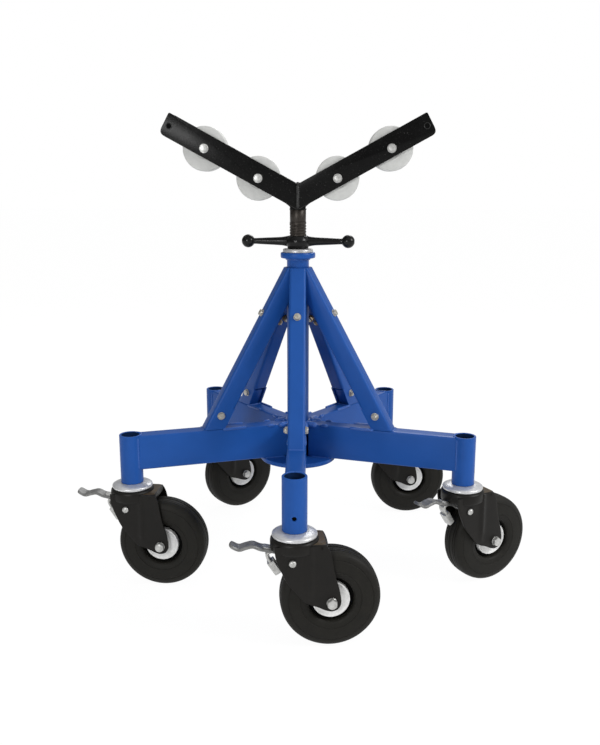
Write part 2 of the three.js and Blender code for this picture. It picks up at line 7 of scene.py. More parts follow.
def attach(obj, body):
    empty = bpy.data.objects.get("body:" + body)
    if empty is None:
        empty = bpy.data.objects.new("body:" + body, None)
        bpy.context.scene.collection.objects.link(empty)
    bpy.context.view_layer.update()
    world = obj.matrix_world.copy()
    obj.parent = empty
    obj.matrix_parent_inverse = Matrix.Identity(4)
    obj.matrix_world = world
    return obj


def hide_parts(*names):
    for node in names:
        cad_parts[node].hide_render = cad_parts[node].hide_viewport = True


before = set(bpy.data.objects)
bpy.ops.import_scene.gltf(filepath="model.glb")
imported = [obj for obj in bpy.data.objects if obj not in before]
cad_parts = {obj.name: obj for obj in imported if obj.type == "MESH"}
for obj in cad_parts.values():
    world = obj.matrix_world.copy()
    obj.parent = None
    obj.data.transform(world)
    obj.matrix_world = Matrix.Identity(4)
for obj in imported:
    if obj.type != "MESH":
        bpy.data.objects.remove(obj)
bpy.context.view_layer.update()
scene = bpy.context.scene

# Sizes in millimetres. Pipe, legs, brace feet and brace depth follow the photo where it differs from the solids.
LEGS = ["front", "right", "rear_right", "rear_left", "left"]
HEADING = [5.8, 28.9, 8.5, 38.5, -5.2]
LEG_STEP = 72
HALF_STEP = math.pi / 5
POST_CIRCLE, PIPE_R, BORE_R = 397, 25.4, 20.45
POST_LOW, POST_HIGH, LEG_LOW, LEG_HIGH = 242, 354, 273, 353
LEG_HALF, COLUMN_TOP, FLANGE_R, FLANGE_T = 20, 754.5, 40, 13
BRACE_FOOT, BRACE_TOP, BRACE_HEAD = [231, 234, 241, 241, 231], 720, 29.65
BRACE_HALF, BRACE_DEPTH, BRACE_WALL, BRACE_CORNER = 19, 42, 4, 7
TOP_BOLT, FOOT_BOLT, FOOT_BOLT_DEEP, BOLT_FLATS = 617, 385, 20, 14
LUG_TOP, LUG_DEEP, FILL_HALF, MITRE = 396, 37, 14, 3.2
CROSS_HOLE_R, CROSS_HOLE_UP, HUB_R, HUB_T, TONGUE_LONG = 4.8, 32, 90, 10, 125
WHEEL_R, TRAIL, FORK_IN, FORK_OUT = 101.6, 70.7, 35, 39
CROWN_LOW, CROWN_HIGH, RACE_TOP = 209.2, 230.7, 241.7
PIVOT = (-7.017, 187.01)
CROWN_R, RACE_R, STEM_UP, ROOF_FRONT, ROOF_END = 49, 45.5, 58, 8, 62.5
NUT_LOW, SCREW_R, SCREW_TOP, NECK_TOP = 762.8, 19.05, 823.0, 852.1
SCREW_LOW, LEAD, THREAD_DEEP, HANDLE_UP, HANDLE_TURN = 350.0, 6.35, 1.3, 16.5, -5
NOTCH, SLOPE, ARM_LONG, ARM_WIDE, ARM_IN, ARM_OUT = 907.495, math.radians(28.5), 320, 50, 30, 38
ROLLERS = {"inner": 83.2, "outer": 217.6}
ROLLER_DOWN, ROLLER_R, ROLLER_HALF = 31.6, 49, 26
SPACER_ALONG, SPACER_DOWN, SPACER_R, INSIDE = ARM_LONG - 13, 26, 8, 29.7
IMAGE_WIDE, FOCAL_PIXELS, CENTRE_PIXEL, SENSOR = 600, 852.06, 297.98, 36


def turn_z(degrees):
    return Matrix.Rotation(math.radians(degrees), 4, "Z")


def move(x, y, z):
    return Matrix.Translation((x, y, z))


def facing(side):
    """Turns local z towards +y (side 1) or -y (side -1)."""
    return Matrix.Rotation(math.radians(-90 * side), 4, "X")


ACROSS = facing(1)
OUTWARD = Matrix.Rotation(math.radians(90), 4, "Y")
LEG_TURN = {n: turn_z(-90 + LEG_STEP * i) for i, n in enumerate(LEGS)}


# Materials
def material(name, color, rough, metal=0.0, second=None, amount=0.35, scale=60.0, bump=0.0, bump_scale=300.0,
             rough_spread=0.12, gloss=0.5, specks=None):
    """Painted or plated surface: two tints by noise, uneven gloss, optional specks and relief."""
    m = bpy.data.materials.new(name)
    m.use_nodes = True
    nodes, links = m.node_tree.nodes, m.node_tree.links
    shader = nodes["Principled BSDF"]
    shader.inputs["Metallic"].default_value = metal
    shader.inputs["Specular IOR Level"].default_value = gloss
    spread = nodes.new("ShaderNodeTexCoord")
    cloud = nodes.new("ShaderNodeTexNoise")
    cloud.inputs["Scale"].default_value = scale
    cloud.inputs["Detail"].default_value = 6
    cloud.inputs["Roughness"].default_value = 0.65
    links.new(spread.outputs["Object"], cloud.inputs["Vector"])
    tint = nodes.new("ShaderNodeValToRGB")
    tint.color_ramp.elements[0].position = 0.5 - amount / 2
    tint.color_ramp.elements[1].position = 0.5 + amount / 2
    tint.color_ramp.elements[0].color = (*(second or [0.8 * c for c in color]), 1)
    tint.color_ramp.elements[1].color = (*color, 1)
    links.new(cloud.outputs["Fac"], tint.inputs["Fac"])
    colour = tint.outputs["Color"]
    if specks:
        speck_color, speck_scale, speck_share = specks
        grain = nodes.new("ShaderNodeTexNoise")
        grain.inputs["Scale"].default_value = speck_scale
        grain.inputs["Detail"].default_value = 3
        links.new(spread.outputs["Object"], grain.inputs["Vector"])
        mask = nodes.new("ShaderNodeMapRange")
        mask.inputs["From Min"].default_value = 1 - speck_share
        mask.inputs["From Max"].default_value = 1.04 - speck_share
        links.new(grain.outputs["Fac"], mask.inputs["Value"])
        mix = nodes.new("ShaderNodeMix")
        mix.data_type = "RGBA"
        links.new(mask.outputs["Result"], mix.inputs["Factor"])
        links.new(colour, mix.inputs["A"])
        mix.inputs["B"].default_value = (*speck_color, 1)
        colour = mix.outputs["Result"]
    links.new(colour, shader.inputs["Base Color"])
    dull = nodes.new("ShaderNodeMapRange")
    dull.inputs["To Min"].default_value = max(0.02, rough - rough_spread)
    dull.inputs["To Max"].default_value = min(1.0, rough + rough_spread)
    links.new(cloud.outputs["Fac"], dull.inputs["Value"])
    links.new(dull.outputs["Result"], shader.inputs["Roughness"])
    if bump:
        fine = nodes.new("ShaderNodeTexNoise")
        fine.inputs["Scale"].default_value = bump_scale
        fine.inputs["Detail"].default_value = 4
        links.new(spread.outputs["Object"], fine.inputs["Vector"])
        relief = nodes.new("ShaderNodeBump")
        relief.inputs["Strength"].default_value = bump
        relief.inputs["Distance"].default_value = 0.0006
        links.new(fine.outputs["Fac"], relief.inputs["Height"])
        links.new(relief.outputs["Normal"], shader.inputs["Normal"])
    return m


BLUE = material("blue_enamel", (0.013, 0.080, 0.330), 0.36, second=(0.011, 0.069, 0.285), scale=9, bump=0.16,
                bump_scale=160, gloss=0.15)
# Lighter copy of the blue enamel for the weld beads: painted highlight, with real relief from the bump.
BLUE_WELD_HIGHLIT = material("blue_weld_painted_highlight", (0.028, 0.110, 0.40), 0.34, second=(0.016, 0.080, 0.33), scale=160, bump=0.5,
                     bump_scale=420, gloss=0.4)
BLACK = material("black_enamel", (0.0038, 0.0038, 0.0038), 0.26, second=(0.0022, 0.0022, 0.0022), scale=38, bump=0.12,
                 bump_scale=230, rough_spread=0.05, gloss=0.11, specks=((0.06, 0.06, 0.058), 420, 0.34))
WORN = material("worn_edge", (0.085, 0.083, 0.08), 0.45, metal=0.3, second=(0.010, 0.010, 0.010), amount=0.6, scale=55,
                gloss=0.2)
# Black lightened for the weld seams of the head: painted highlight.
SEAM_HIGHLIT = material("seam_painted_highlight", (0.014, 0.014, 0.0135), 0.38, metal=0.2, second=(0.006, 0.006, 0.006), amount=0.5,
                scale=120)
CAST = material("cast_black", (0.0055, 0.0055, 0.0055), 0.24, second=(0.0035, 0.0035, 0.0035), scale=60, bump=0.35,
                bump_scale=380, gloss=0.22)
FORK = material("fork_black", (0.0098, 0.0088, 0.0075), 0.40, second=(0.0070, 0.0064, 0.0055), scale=26, bump=0.15,
                bump_scale=260, gloss=0.18)
# Brown for the top face of the fork roof.
TAB = material("brown_roof_top", (0.075, 0.044, 0.012), 0.5, second=(0.028, 0.019, 0.009), amount=0.5, scale=70, gloss=0.3)
ZINC = material("zinc_plate", (0.68, 0.685, 0.695), 0.33, metal=0.55, second=(0.52, 0.525, 0.54), scale=120, bump=0.1)
DULL_ZINC = material("dull_zinc", (0.24, 0.24, 0.236), 0.45, metal=0.55, second=(0.15, 0.15, 0.147), scale=90,
                     bump=0.15)
BRIGHT = material("bright_plate", (0.60, 0.60, 0.585), 0.36, metal=0.6, second=(0.38, 0.38, 0.365), scale=130)
BOLT = material("plated_bolt", (0.62, 0.60, 0.54), 0.34, metal=0.5, second=(0.24, 0.22, 0.18), amount=0.45, scale=190)
RUST_NUT = material("brown_nut", (0.26, 0.20, 0.14), 0.45, metal=0.5, second=(0.11, 0.08, 0.05), amount=0.5, scale=200)
RUBBER = material("tyre_rubber", (0.0112, 0.0104, 0.0078), 0.58, second=(0.0068, 0.0063, 0.0048), scale=34, bump=0.25,
                  bump_scale=520, rough_spread=0.08, gloss=0.2)
RIM = material("rim_silver", (0.80, 0.80, 0.79), 0.5, metal=0.1, second=(0.64, 0.64, 0.63), scale=150, bump=0.2,
               bump_scale=600)
BORE = material("bore_shade", (0.006, 0.024, 0.085), 0.6, second=(0.003, 0.010, 0.035), scale=40, gloss=0.05)
# Near-black used as painted shade inside the post, on the plug marks and in the rim recess, where it also stands for
# the tyre's black bead.
PAINTED_SHADE_BLACK = material("painted_shade_black", (0.004, 0.004, 0.004), 0.8, second=(0.002, 0.002, 0.002), gloss=0.05)
SCREW = material("oiled_steel", (0.055, 0.047, 0.040), 0.40, metal=0.5, second=(0.022, 0.018, 0.015), amount=0.5,
                 scale=75, bump=0.2, bump_scale=500, gloss=0.3)
NYLON = material("natural_nylon", (0.58, 0.585, 0.57), 0.5, second=(0.50, 0.505, 0.49), scale=45, bump=0.12,
                 bump_scale=500)
NYLON.node_tree.nodes["Principled BSDF"].inputs["Subsurface Weight"].default_value = 0.12
NYLON.node_tree.nodes["Principled BSDF"].inputs["Subsurface Radius"].default_value = (0.012, 0.012, 0.011)
WASHER = material("washer_zinc", (0.50, 0.50, 0.50), 0.36, metal=0.35, second=(0.38, 0.38, 0.38), scale=90)


# Mesh helpers, all in millimetres
def add_loop(bm, points):
    return [bm.verts.new(p) for p in points]


def skin(bm, loops, around=True, closed=False, index=0):
    pairs = list(zip(loops, loops[1:])) + ([(loops[-1], loops[0])] if closed else [])
    for a, b in pairs:
        if len(a) == 1 and len(b) == 1:
            continue
        n = max(len(a), len(b))
        for i in range(n if around else n - 1):
            j = (i + 1) % n
            corners = [a[0]] if len(a) == 1 else [a[i], a[j]]
            corners += [b[0]] if len(b) == 1 else [b[j], b[i]]
            bm.faces.new(corners).material_index = index


def cap(bm, loop, index=0):
    bm.faces.new(loop).material_index = index


def lathe(bm, profile, sides=64, place=Matrix(), closed=False, index=0):
    loops = []
    for r, z in profile:
        if r < 1e-6:
            loops.append(add_loop(bm, [place @ Vector((0, 0, z))]))
            continue
        turns = [2 * math.pi * k / sides for k in range(sides)]
        loops.append(add_loop(bm, [place @ Vector((r * math.cos(t), r * math.sin(t), z)) for t in turns]))
    skin(bm, loops, closed=closed, index=index)


def fillet(points, cut, steps=4):
    """Outline with its corners rounded by cut, one size or one per corner."""
    out = []
    count = len(points)
    for i, p in enumerate(points):
        p = Vector(p)
        size = cut[i] if isinstance(cut, (list, tuple)) else cut
        if size <= 0:
            out.append(p)
            continue
        a, b = Vector(points[i - 1]), Vector(points[(i + 1) % count])
        size = min(size, (a - p).length * 0.49, (b - p).length * 0.49)
        start, end = p + (a - p).normalized() * size, p + (b - p).normalized() * size
        for k in range(steps + 1):
            t = k / steps
            out.append((1 - t) ** 2 * start + 2 * t * (1 - t) * p + t * t * end)
    return out


def plate(bm, outline, y0, y1, edge, place=Matrix(), edge_index=None):
    """Plate on an (x, z) outline, from y0 to y1, with rounded rims."""
    part = bmesh.new()
    low = add_loop(part, [(x, y0, z) for x, z in outline])
    high = add_loop(part, [(x, y1, z) for x, z in outline])
    skin(part, [low, high])
    caps = [part.faces.new(low), part.faces.new(list(reversed(high)))]
    rim = {e for f in caps for e in f.edges}
    made = bmesh.ops.bevel(part, geom=list(rim), offset=edge, segments=2, profile=0.6, affect="EDGES",
                           clamp_overlap=True)
    if edge_index is not None:
        for f in made["faces"]:
            f.material_index = edge_index
    blend_in(bm, part, place)


def blend_in(bm, part, place=Matrix()):
    """Adds the part to bm with its normals made consistent, and frees it."""
    bmesh.ops.recalc_face_normals(part, faces=part.faces)
    bmesh.ops.transform(part, matrix=place, verts=part.verts)
    held = bpy.data.meshes.new("held")
    part.to_mesh(held)
    part.free()
    bm.from_mesh(held)
    bpy.data.meshes.remove(held)


def sweep(bm, path, section, index=0, close=False):
    """Loops of section(i) -> (side, up) points carried along a path."""
    loops = []
    count = len(path)
    up = None
    for i, p in enumerate(path):
        before = path[(i - 1) % count] if close or i else path[0]
        after = path[(i + 1) % count] if close or i < count - 1 else path[-1]
        along = (after - before).normalized()
        if up is None:
            up = Vector((0, 0, 1)) if abs(along.z) < 0.9 else Vector((1, 0, 0))
        side = along.cross(up).normalized()
        up = side.cross(along).normalized()
        loops.append(add_loop(bm, [p + side * a + up * b for a, b in section(i)]))
    skin(bm, loops, closed=close, index=index)
    if not close:
        cap(bm, list(reversed(loops[0])), index)
        cap(bm, loops[-1], index)


def weld(bm, corners, radius=3.0, ripple=3.2, index=0, close=False):
    """Rippled weld bead along a polyline."""
    points = []
    legs = list(zip(corners, corners[1:])) + ([(corners[-1], corners[0])] if close else [])
    for a, b in legs:
        a, b = Vector(a), Vector(b)
        steps = max(2, int((b - a).length / (ripple / 4)))
        points += [a.lerp(b, k / steps) for k in range(steps)]
    if not close:
        points.append(Vector(corners[-1]))
    last = len(points) - 1

    def section(i):
        swell = radius * (0.88 + 0.10 * abs(math.sin(math.pi * i / 4)) + 0.04 * math.sin(i * 1.7))
        if not close:
            swell *= math.sqrt(min(1.0, (0.4 + min(i, last - i)) * ripple / 4 / radius))
        return [(swell * math.cos(t * math.pi / 6), swell * math.sin(t * math.pi / 6)) for t in range(12)]

    sweep(bm, points, section, index, close)


def circle(radius, z, steps, place=Matrix()):
    turns = [2 * math.pi * k / steps for k in range(steps)]
    return [place @ Vector((radius * math.cos(t), radius * math.sin(t), z)) for t in turns]


def hexagon(bm, flats, z0, z1, place=Matrix(), index=0, dome=0.0):
    """Hexagon head or nut with turned-off corners."""
    corner = flats / math.sqrt(3)
    loops = []
    sides = 24
    for z, limit in ((z0, 99.0), (z1 - 0.16 * flats, 99.0), (z1 - 0.05 * flats, 1.07), (z1, 0.97)):
        ring = []
        for k in range(sides):
            t = 2 * math.pi * k / sides
            wedge = (t + math.pi / 6) % (math.pi / 3) - math.pi / 6
            r = min(flats / 2 / math.cos(wedge), limit * flats / 2)
            ring.append(place @ Vector((r * math.cos(t), r * math.sin(t), z)))
        loops.append(add_loop(bm, ring))
    skin(bm, loops, index=index)
    cap(bm, list(reversed(loops[0])), index)
    if dome:
        tops = []
        for share in (0.72, 0.45, 0.2):
            z = z1 + dome * (1 - share * share)
            tops.append(add_loop(bm, circle(corner * 0.86 * share, z, sides, place)))
        skin(bm, [loops[-1], *tops], index=index)
        cap(bm, tops[-1], index)
    else:
        cap(bm, loops[-1], index)


def washer(bm, inner, outer, z0, z1, place=Matrix(), index=0):
    e = min(0.4, (z1 - z0) / 3)
    lathe(bm, [(inner, z0), (outer - e, z0), (outer, z0 + e), (outer, z1 - e), (outer - e, z1), (inner, z1)], 36, place,
          True, index)


def dome(bm, radius, height, place=Matrix(), index=0, sides=28):
    profile = [(radius, -0.6), (radius, 0.2)]
    profile += [(radius * math.cos(t), 0.2 + height * math.sin(t)) for t in (0.3, 0.6, 0.9, 1.2, 1.4)]
    lathe(bm, [(0, -0.6), *profile, (0, 0.2 + height)], sides, place, False, index)


def finish_mesh(name, bm, materials, sharp=32):
    bmesh.ops.recalc_face_normals(bm, faces=bm.faces)
    bmesh.ops.scale(bm, vec=(0.001, 0.001, 0.001), verts=bm.verts)
    mesh = bpy.data.meshes.new(name)
    bm.to_mesh(mesh)
    bm.free()
    for m in materials:
        mesh.materials.append(m)
    mesh.polygons.foreach_set("use_smooth", [True] * len(mesh.polygons))
    mesh.set_sharp_from_angle(angle=math.radians(sharp))
    return mesh


def put(name, mesh, body, stands_for=(), place=None):
    """Places a mesh in the scene, on its body, for the CAD nodes it stands for."""
    piece = bpy.data.objects.new(name, mesh)
    scene.collection.objects.link(piece)
    if place is not None:
        turn = place.to_quaternion().to_matrix().to_4x4()
        piece.matrix_world = move(*[0.001 * c for c in place.to_translation()]) @ turn
    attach(piece, body)
    if stands_for:
        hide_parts(*stands_for)


# Frame
def brace_lean(foot):
    return math.atan2(foot - BRACE_HEAD, BRACE_TOP - LEG_HIGH)


def brace_radius(foot, z, depth=0.0):
    lean = brace_lean(foot)
    return foot - (z - LEG_HIGH) * math.tan(lean) - depth / math.cos(lean)


def post_mesh(bm):
    at = move(POST_CIRCLE, 0, 0)
    e = 0.8
    ring = [(BORE_R, POST_LOW + e), (BORE_R + e, POST_LOW), (PIPE_R - e, POST_LOW), (PIPE_R, POST_LOW + e)]
    ring += [(PIPE_R, POST_HIGH - e), (PIPE_R - e, POST_HIGH), (BORE_R + e, POST_HIGH), (BORE_R, POST_HIGH - e)]
    part = bmesh.new()
    lathe(part, ring, 64, at, True)
    hole = drilled(part, CROSS_HOLE_R, move(POST_CIRCLE + 10, 0, POST_LOW + CROSS_HOLE_UP) @ OUTWARD, 30)
    bm.from_mesh(hole)
    bpy.data.meshes.remove(hole)
    for face in bm.faces:
        middle = face.calc_center_median() - at.translation
        face.material_index = 2 if math.hypot(middle.x, middle.y) < BORE_R + 0.1 else 0


def drilled(part, radius, place, depth):
    """The part with a round hole cut through it."""
    tool = bmesh.new()
    lathe(tool, [(0, 0), (radius, 0), (radius, depth), (0, depth)], 32, place)
    pair = []
    for name, shape in (("cutter", tool), ("work", part)):
        bmesh.ops.recalc_face_normals(shape, faces=shape.faces)
        mesh = bpy.data.meshes.new(name)
        shape.to_mesh(mesh)
        shape.free()
        pair.append(bpy.data.objects.new(name, mesh))
        scene.collection.objects.link(pair[-1])
    change = pair[1].modifiers.new("hole", "BOOLEAN")
    change.object = pair[0]
    change.solver = "EXACT"
    result = bpy.data.meshes.new_from_object(pair[1].evaluated_get(bpy.context.evaluated_depsgraph_get()))
    for o in pair:
        bpy.data.meshes.remove(o.data)
    return result


def leg_tube(bm):
    """Rectangular tube with round corners, shaped to the column, the mitres and the post."""
    across = [-14, -9, -3, 3, 9, 14]
    section = [(y, LEG_LOW) for y in across] + [(17.5, LEG_LOW + 0.7), (19.3, LEG_LOW + 2.5)]
    section += [(20, LEG_LOW + 6), (20, LEG_HIGH - 6), (19.3, LEG_HIGH - 2.5), (17.5, LEG_HIGH - 0.7)]
    section += [(y, LEG_HIGH) for y in reversed(across)] + [(-17.5, LEG_HIGH - 0.7), (-19.3, LEG_HIGH - 2.5)]
    section += [(-20, LEG_HIGH - 6), (-20, LEG_LOW + 6), (-19.3, LEG_LOW + 2.5), (-17.5, LEG_LOW + 0.7)]
    part = bmesh.new()
    gap = MITRE / math.cos(HALF_STEP)
    start = [max(math.sqrt(PIPE_R ** 2 - y * y) - 1, (abs(y) + gap) / math.tan(HALF_STEP)) for y, _ in section]
    end = [POST_CIRCLE - math.sqrt(PIPE_R ** 2 - y * y) + 1.5 for y, _ in section]
    first = add_loop(part, [(x, y, z) for x, (y, z) in zip(start, section)])
    last = add_loop(part, [(x, y, z) for x, (y, z) in zip(end, section)])
    middle = [add_loop(part, [(x, y, z) for y, z in section]) for x in (60, 120, 180, 240, 300, 350)]
    skin(part, [first, *middle, last])
    cap(part, list(reversed(first)))
    cap(part, last)
    blend_in(bm, part)


def leg_welds(bm, foot):
    # Beads take material 1, the blue lightened as painted highlight.
    joint = POST_CIRCLE - 13.6
    inner = brace_radius(foot, LEG_HIGH, BRACE_DEPTH)
    for s in (-1, 1):
        weld(bm, [(joint, s * 19.8, LEG_LOW + 4), (joint, s * 19.8, LEG_HIGH - 4)], 2.6, index=1)
        weld(bm, [(joint, s * 18.5, LEG_HIGH - 0.5), (POST_CIRCLE - 22.5, s * 10, LEG_HIGH),
                  (POST_CIRCLE - 24.4, 0, LEG_HIGH)], 2.2, index=1)
        weld(bm, [(inner - 52, s * 17, LEG_HIGH - 0.4), (inner - 30, s * 18, LEG_HIGH - 0.6),
                  (inner + 4, s * 18.6, LEG_HIGH - 0.8)], 3.8, 8, index=1)
        weld(bm, [(38, s * 18, LEG_LOW), (86, s * 18, LEG_LOW)], 2.8, index=1)
    weld(bm, [(inner - 2, -16, LEG_HIGH), (inner - 2, 16, LEG_HIGH)], 2.4, 5, index=1)
    weld(bm, [(foot + 1, -17, LEG_HIGH), (foot + 1, 17, LEG_HIGH)], 1.8, index=1)
    edge = (LEG_HALF + 1.6) / math.sin(HALF_STEP)
    seam = [edge * math.cos(HALF_STEP), edge * math.sin(HALF_STEP)]
    weld(bm, [(26, 0, LEG_HIGH), (*[0.8 * c for c in seam], LEG_HIGH), (*seam, LEG_HIGH - 1)], 4.6, 6, index=1)
    weld(bm, [(26, 0, LEG_HIGH), (0.8 * seam[0], -0.8 * seam[1], LEG_HIGH)], 4.6, 6, index=1)
    for s in (-1, 1):
        weld(bm, [(seam[0] - 8, s * 14, LEG_HIGH - 1), (seam[0] + 6, s * 17.5, LEG_HIGH - 1),
                  (seam[0] + 24, s * 18.5, LEG_HIGH - 1.5)], 7.4, 6, index=1)
        weld(bm, [(seam[0] + 34, s * 18.5, LEG_HIGH - 0.6), (seam[0] + 50, s * 18.5, LEG_HIGH - 0.6)], 4.2, 6, index=1)


def brace_side(foot, z0, z1, shallow, deep):
    """Side outline between two heights and two depths below the brace's outer face."""
    return [(brace_radius(foot, z, d), z) for z, d in ((z0, shallow), (z1, shallow), (z1, deep), (z0, deep))]


def leg_mesh(foot):
    bm = bmesh.new()
    post_mesh(bm)
    leg_tube(bm)
    lug = brace_side(foot, LEG_HIGH - 0.3, LUG_TOP, BRACE_WALL + 0.3, LUG_DEEP)
    plate(bm, fillet(lug, [0, 0, 3, 0]), -FILL_HALF, FILL_HALF, 2)
    leg_welds(bm, foot)
    return finish_mesh("leg_shape", bm, [BLUE, BLUE_WELD_HIGHLIT, BORE])


def cut_by(bm, point, normal):
    """Keeps the side of the plane that the normal points away from, and closes the cut."""
    geometry = bm.verts[:] + bm.edges[:] + bm.faces[:]
    made = bmesh.ops.bisect_plane(bm, geom=geometry, plane_co=point, plane_no=normal, clear_outer=True)
    edges = [g for g in made["geom_cut"] if isinstance(g, bmesh.types.BMEdge)]
    bmesh.ops.edgeloop_fill(bm, edges=edges)


def brace_run(bm, foot, section, z0, z1):
    """The section of (across, deep) points carried along the brace, cut level at both ends."""
    lean = brace_lean(foot)
    inward = Vector((-math.cos(lean), 0, -math.sin(lean)))
    loops = []
    for z in (z0 - 40, z1 + 40):
        base = Vector((brace_radius(foot, z), 0, z))
        loops.append(add_loop(bm, [base + inward * p[1] + Vector((0, p[0], 0)) for p in section]))
    skin(bm, loops)
    cap(bm, list(reversed(loops[0])))
    cap(bm, loops[1])
    bmesh.ops.recalc_face_normals(bm, faces=bm.faces)
    cut_by(bm, (0, 0, z0), (0, 0, -1))
    cut_by(bm, (0, 0, z1), (0, 0, 1))
    for s in (-1, 1):
        normal = Vector((-math.sin(HALF_STEP), s * math.cos(HALF_STEP), 0))
        cut_by(bm, Vector((0.5, 0, 0)), normal)


def brace_mesh(foot):
    """Tube cut away over the lug: closed above, open towards the column at its foot."""
    h, d, w = BRACE_HALF, BRACE_DEPTH, BRACE_WALL
    mouth = LUG_TOP + 4
    corners = [(-h, d), (-h, 0), (h, 0), (h, d)]
    open_section = fillet(corners, [0, BRACE_CORNER, BRACE_CORNER, 0], 6)
    open_section += fillet([(h - w, d), (h - w, w), (w - h, w), (w - h, d)], [0, 4, 4, 0], 6)
    bm = bmesh.new()
    full_section = fillet(corners, BRACE_CORNER, 6)
    for section, z0, z1 in ((open_section, LEG_HIGH + 0.3, mouth), (full_section, mouth, BRACE_TOP)):
        part = bmesh.new()
        brace_run(part, foot, section, z0, z1)
        blend_in(bm, part)
    return finish_mesh("brace_shape", bm, [BLUE])


def brace_bolts(foot):
    """The bolt through the tongue at the top, and the one through the lug at the foot."""
    bm = bmesh.new()
    z, lean, half = TOP_BOLT, brace_lean(foot), BRACE_HALF
    out = Vector((math.cos(lean), 0, math.sin(lean)))
    along = Vector((-math.sin(lean), 0, math.cos(lean)))
    spin = Matrix((along, Vector((0, -1, 0)), out)).transposed().to_4x4()
    top = Matrix.Translation(Vector((brace_radius(foot, z), 0, z))) @ spin
    washer(bm, 5, 8.6, 0.05, 1.3, top, 0)
    hexagon(bm, BOLT_FLATS, 1.3, 7, top, 0, 0.6)
    end = -BRACE_DEPTH
    lathe(bm, [(0, end - 11.5), (4.2, end - 11.5), (5, end - 10.7), (5, end), (5, 1), (0, 1)], 20, top, False, 0)
    under = top @ move(0, 0, end) @ Matrix.Rotation(math.pi, 4, "X")
    washer(bm, 5, 9, 0.05, 1.3, under, 1)
    hexagon(bm, BOLT_FLATS, 1.3, 8.6, under, 1)
    cross = move(brace_radius(foot, FOOT_BOLT, FOOT_BOLT_DEEP), 0, FOOT_BOLT) @ ACROSS
    for side in (1, -1):
        face = cross if side > 0 else cross @ Matrix.Rotation(math.pi, 4, "X")
        washer(bm, 5, 9, half + 0.05, half + 1.4, face, 0)
        hexagon(bm, BOLT_FLATS, half + 1.4, half + 6.4, face, 0, 0.5 if side > 0 else 0)
    lathe(bm, [(0, -half - 9), (4, -half - 9), (4.8, -half - 8), (4.8, half), (0, half)], 20, cross, False, 0)
    return finish_mesh("brace_bolts", bm, [BOLT, RUST_NUT])


def column_mesh():
    bm = bmesh.new()
    low = COLUMN_TOP - FLANGE_T
    profile = [(BORE_R, LEG_LOW), (PIPE_R, LEG_LOW), (PIPE_R, low - 5), (PIPE_R + 0.8, low - 2.2), (PIPE_R + 4, low)]
    profile += [(FLANGE_R - 2.5, low), (FLANGE_R - 0.8, low + 0.8), (FLANGE_R, low + 2.6), (FLANGE_R, COLUMN_TOP - 3.4)]
    profile += [(FLANGE_R - 0.9, COLUMN_TOP - 1.1), (FLANGE_R - 3.2, COLUMN_TOP), (BORE_R + 1, COLUMN_TOP)]
    profile += [(BORE_R, COLUMN_TOP - 1)]
    lathe(bm, profile, 72, closed=True)
    # Weld beads take material 1, the blue lightened as painted highlight.
    weld(bm, circle(PIPE_R + 1.2, low - 2, 72), 2.4, index=1, close=True)
    top, face = BRACE_TOP - BRACE_WALL, BRACE_WALL + 0.3
    for n, foot in zip(LEGS, BRACE_FOOT):
        tongue = brace_side(foot, top - TONGUE_LONG, top, face, face + 8)
        plate(bm, tongue, -FILL_HALF, FILL_HALF, 0.6, LEG_TURN[n])
    for i in range(len(LEGS)):
        turn = turn_z((LEG_STEP - 180) / 2 + LEG_STEP * i)
        weld(bm, [turn @ Vector((25.5, 0, 640)), turn @ Vector((25.5, 0, 712))], 2.6, index=1)
    return finish_mesh("column_shape", bm, [BLUE, BLUE_WELD_HIGHLIT])


def hub_mesh():
    bm = bmesh.new()
    top = LEG_LOW - 0.3
    low = top - HUB_T
    lathe(bm, [(0, low), (HUB_R - 1.4, low), (HUB_R, low + 1.4), (HUB_R, top - 1), (HUB_R - 1, top), (0, top)], 96)
    return finish_mesh("hub_shape", bm, [BLUE])


put("frame_column", column_mesh(), "frame", ["column"])
put("frame_hub_disc", hub_mesh(), "frame", ["hub_plate"])
for n, foot in zip(LEGS, BRACE_FOOT):
    put(f"frame_leg_{n}", leg_mesh(foot), "frame", [f"leg_{n}"], LEG_TURN[n])
    put(f"frame_brace_{n}", brace_mesh(foot), "frame", [f"brace_{n}"], LEG_TURN[n])
    put(f"brace_bolts_{n}", brace_bolts(foot), "frame", (), LEG_TURN[n])


# Casters
def stem_mesh():
    bm = bmesh.new()
    low = CROWN_HIGH + 0.3
    profile = [(0, CROWN_LOW - 2), (9, CROWN_LOW - 2), (12, CROWN_LOW), (12, low), (43.6, low), (45, low + 0.7)]
    profile += [(RACE_R, low + 2), (RACE_R, low + 4.2), (45.0, low + 5.6), (43.8, low + 6.6), (40, low + 8.4)]
    profile += [(34, low + 10.0), (30, RACE_TOP - 0.2), (29, RACE_TOP), (BORE_R - 0.3, RACE_TOP)]
    profile += [(BORE_R - 0.3, RACE_TOP + STEM_UP - 1), (BORE_R - 1.3, RACE_TOP + STEM_UP), (0, RACE_TOP + STEM_UP)]
    lathe(bm, profile, 72)
    # The shaft above the race takes material 1, near-black painted shade inside the post.
    for face in bm.faces:
        face.material_index = int(face.calc_center_median().z > RACE_TOP + 1)
    return finish_mesh("stem_shape", bm, [ZINC, PAINTED_SHADE_BLACK], 40)


FORK_LEFT = [(70.7, 82.6), (58, 86), (42, 93.5), (19, 103), (0, 124), (-18, 147), (-28, 168), (-36.5, 188), (-41, 205),
             (-42, 222)]
FORK_RIGHT = [(70.7, 82.6), (82, 86.5), (88, 94.5), (89.5, 104), (88, 118), (84, 136), (78.5, 154), (74.5, 172),
              (70.5, 196), (67.5, 208), (64, 216), (60, 222)]


